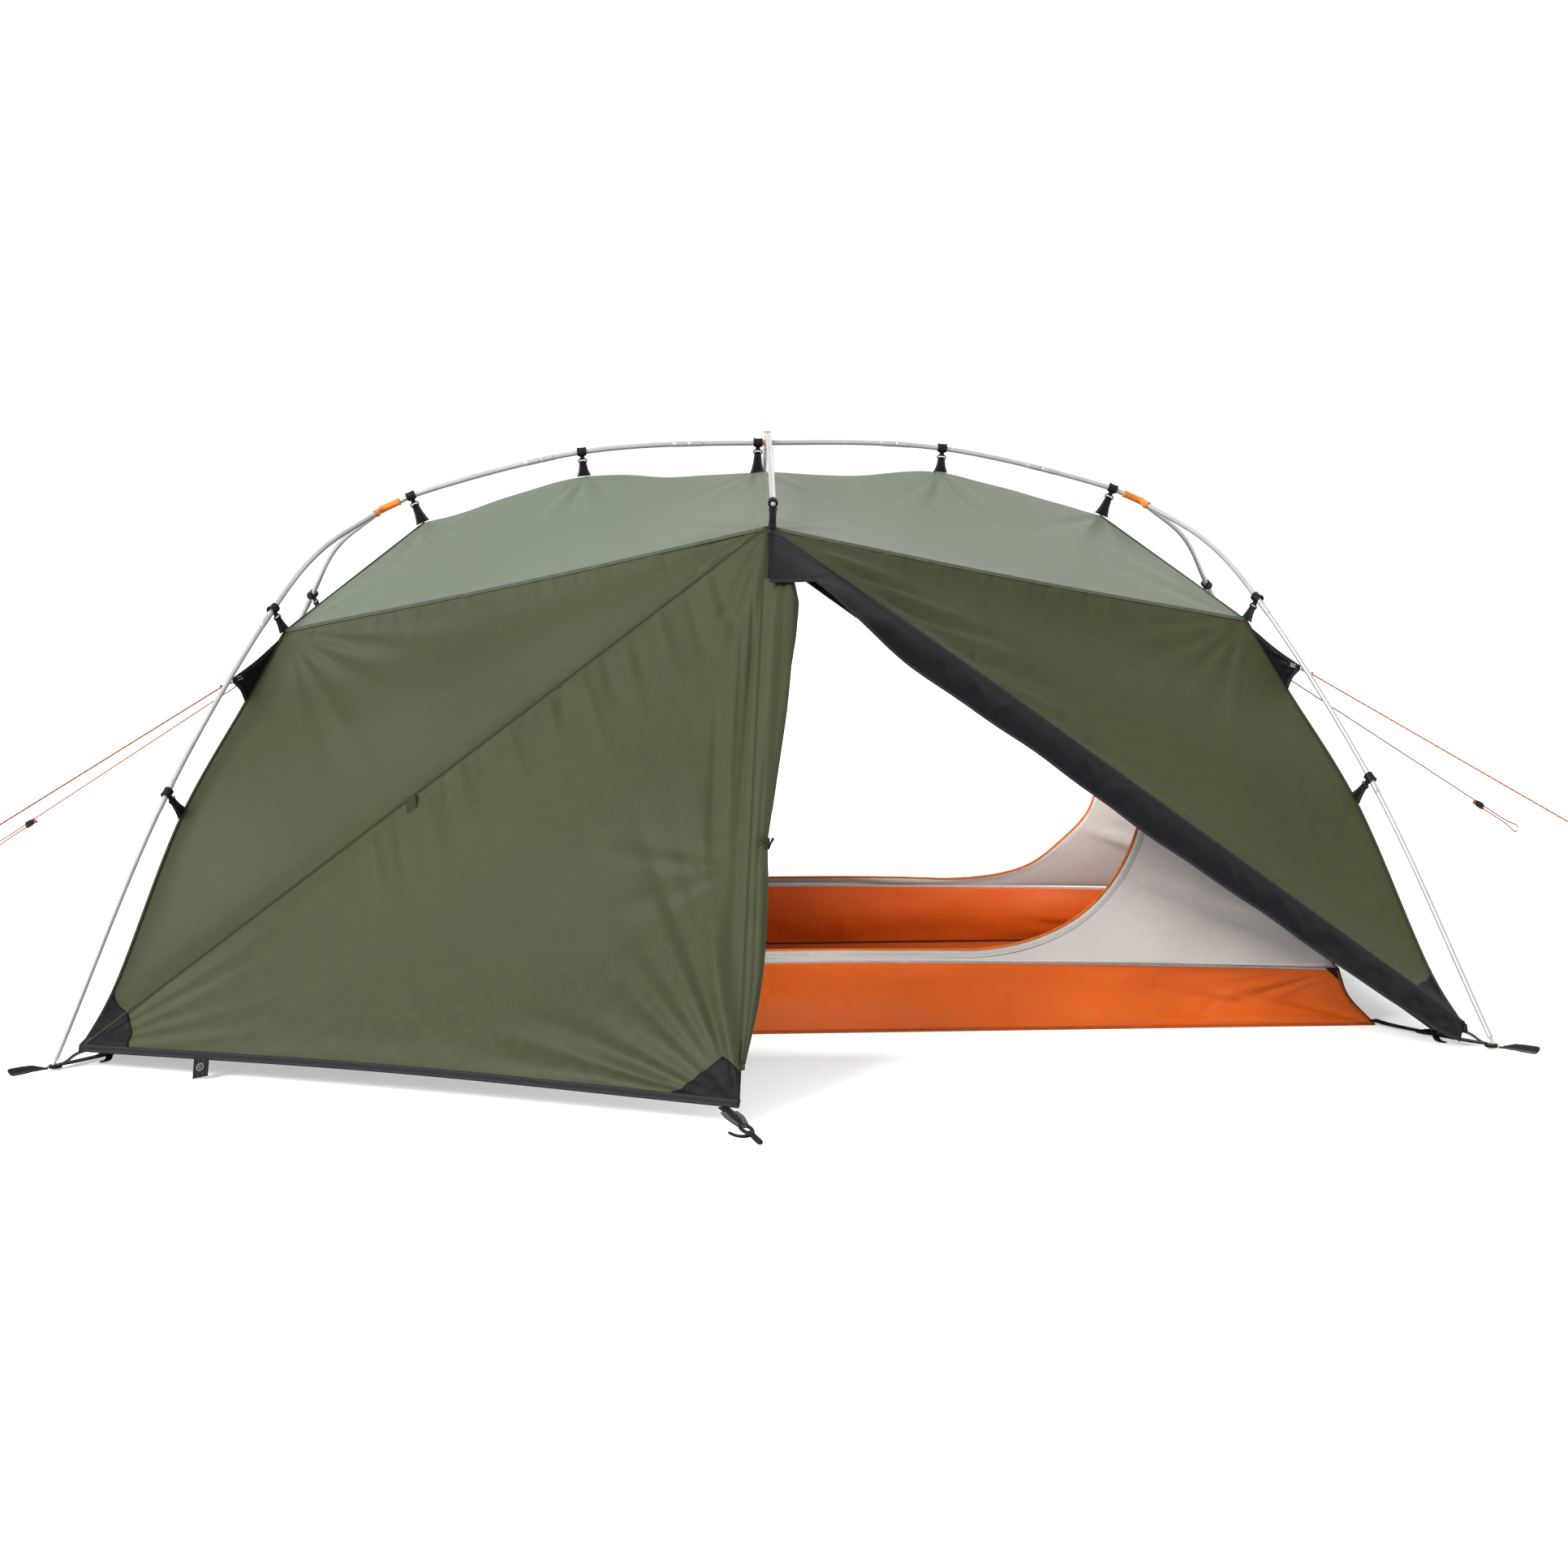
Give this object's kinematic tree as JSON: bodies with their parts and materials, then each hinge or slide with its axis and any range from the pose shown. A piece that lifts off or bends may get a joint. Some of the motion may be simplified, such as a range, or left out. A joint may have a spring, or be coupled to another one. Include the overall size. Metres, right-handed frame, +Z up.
{
  "type": "tent",
  "caption": "Trekking tent hung by clips from an outside frame of bowed poles, with a porch on each long side, guy lines, an inner tent and rolled-back doors.",
  "frame": {"origin": "on the ground at the middle of the footprint", "axes": "+X along the ridge towards the open half of each door, +Y from the front door to the back door, +Z up"},
  "size_m": [3.4502, 2.965, 1.0725],
  "materials": {
    "pole_aluminium": "bright drawn tube",
    "cross_aluminium": "bright drawn tube, a little thicker",
    "hub_orange": "anodised orange fitting",
    "black_plastic": "moulded, satin",
    "black_webbing": "woven webbing",
    "black_fabric": "coated ripstop",
    "fly_olive": "coated ripstop, slight sheen",
    "fly_sage": "coated ripstop, lighter roof panel",
    "inner_orange": "coated floor fabric",
    "inner_grey": "light breathable fabric",
    "guy_cord": "braided cord",
    "zip_metal": "dull grey"
  },
  "bodies": {
    "tent": {"ridge_pole": "pole_aluminium", "leg_pole_front_left": "pole_aluminium", "leg_pole_front_right": "pole_aluminium", "leg_pole_back_left": "pole_aluminium", "leg_pole_back_right": "pole_aluminium", "hub_left": "hub_orange", "hub_right": "hub_orange", "cross_hub": "hub_orange", "ridge_clip_1": "black_plastic", "ridge_clip_2": "black_plastic", "ridge_clip_3": "black_plastic", "ridge_clip_4": "black_plastic", "ridge_clip_5": "black_plastic", "leg_clip_high_front_left": "black_plastic", "leg_clip_low_front_left": "black_plastic", "leg_clip_high_front_right": "black_plastic", "leg_clip_low_front_right": "black_plastic", "leg_clip_high_back_left": "black_plastic", "leg_clip_low_back_left": "black_plastic", "leg_clip_high_back_right": "black_plastic", "leg_clip_low_back_right": "black_plastic", "fly_roof": "fly_sage", "fly_end_left": "fly_olive", "fly_end_right": "fly_olive", "fly_front_left": "fly_olive", "fly_front_right": "fly_olive", "fly_back_left": "fly_olive", "fly_back_right": "fly_olive", "storm_flap_front": "black_fabric", "door_roll_front": "fly_olive", "storm_flap_back": "black_fabric", "door_roll_back": "fly_olive", "inner_tub": "inner_orange", "inner_wall_front": "inner_grey", "inner_wall_back": "inner_grey", "inner_end_left": "inner_grey", "inner_end_right": "inner_grey", "corner_strap_front_left": "black_webbing", "corner_strap_front_right": "black_webbing", "corner_strap_back_left": "black_webbing", "corner_strap_back_right": "black_webbing", "guy_line_front_left": "guy_cord", "guy_line_front_right": "guy_cord", "guy_line_back_left": "guy_cord", "guy_line_back_right": "guy_cord"},
    "cross_pole_assembly": {"cross_pole": "cross_aluminium", "apex_strap_front": "black_webbing", "apex_strap_back": "black_webbing"},
    "zip_slider_front": {"zip_slider_front": "zip_metal"},
    "zip_slider_back": {"zip_slider_back": "zip_metal"},
    "pull_tab_front_left": {"pull_tab_front_left": "black_webbing"},
    "pull_tab_front_right": {"pull_tab_front_right": "black_webbing"},
    "pull_tab_back_left": {"pull_tab_back_left": "black_webbing"},
    "pull_tab_back_right": {"pull_tab_back_right": "black_webbing"},
    "peg_hook_front": {"peg_hook_front": "black_plastic"},
    "peg_hook_back": {"peg_hook_back": "black_plastic"},
    "guy_slider_front_left": {"guy_slider_front_left": "black_plastic"},
    "guy_slider_front_right": {"guy_slider_front_right": "black_plastic"},
    "guy_slider_back_left": {"guy_slider_back_left": "black_plastic"},
    "guy_slider_back_right": {"guy_slider_back_right": "black_plastic"}
  },
  "joints": [
    {"name": "cross_pole_swivel", "type": "hinge", "parent": "tent", "child": "cross_pole_assembly", "pos_m": [0.01, 0, 1.063], "axis": [0, 0, 1], "range_deg": [-8, 8]},
    {"name": "guy_slider_front_left_slide", "type": "slide", "parent": "tent", "child": "guy_slider_front_left", "axis": [-0.6751, -0.6079, -0.4179], "range_m": [-0.15, 0.08]},
    {"name": "guy_slider_front_right_slide", "type": "slide", "parent": "tent", "child": "guy_slider_front_right", "axis": [0.6751, -0.6079, -0.4179], "range_m": [-0.15, 0.08]},
    {"name": "guy_slider_back_left_slide", "type": "slide", "parent": "tent", "child": "guy_slider_back_left", "axis": [-0.6751, 0.6079, -0.4179], "range_m": [-0.15, 0.08]},
    {"name": "guy_slider_back_right_slide", "type": "slide", "parent": "tent", "child": "guy_slider_back_right", "axis": [0.6751, 0.6079, -0.4179], "range_m": [-0.15, 0.08]},
    {"name": "pull_tab_front_left_lift", "type": "hinge", "parent": "tent", "child": "pull_tab_front_left", "pos_m": [-1.23997, -0.796, 0.004], "axis": [-0.769, 0.6392, 0], "range_deg": [0, 80]},
    {"name": "pull_tab_front_right_lift", "type": "hinge", "parent": "tent", "child": "pull_tab_front_right", "pos_m": [1.23997, -0.796, 0.004], "axis": [-0.769, -0.6392, 0], "range_deg": [0, 80]},
    {"name": "pull_tab_back_left_lift", "type": "hinge", "parent": "tent", "child": "pull_tab_back_left", "pos_m": [-1.23997, 0.796, 0.004], "axis": [0.769, 0.6392, 0], "range_deg": [0, 80]},
    {"name": "pull_tab_back_right_lift", "type": "hinge", "parent": "tent", "child": "pull_tab_back_right", "pos_m": [1.23997, 0.796, 0.004], "axis": [0.769, -0.6392, 0], "range_deg": [0, 80]},
    {"name": "peg_hook_front_lift", "type": "hinge", "parent": "tent", "child": "peg_hook_front", "pos_m": [-0.064, -1.354, 0.023], "axis": [-0.9787, -0.2052, 0], "range_deg": [0, 85]},
    {"name": "peg_hook_back_lift", "type": "hinge", "parent": "tent", "child": "peg_hook_back", "pos_m": [-0.064, 1.354, 0.023], "axis": [0.9787, -0.2052, 0], "range_deg": [0, 85]},
    {"name": "zip_slider_front_slide", "type": "slide", "parent": "tent", "child": "zip_slider_front", "axis": [0.7925, -0.2043, -0.5746], "range_m": [-1.15, 0.03]},
    {"name": "zip_slider_back_slide", "type": "slide", "parent": "tent", "child": "zip_slider_back", "axis": [0.7925, 0.2043, -0.5746], "range_m": [-1.15, 0.03]}
  ]
}
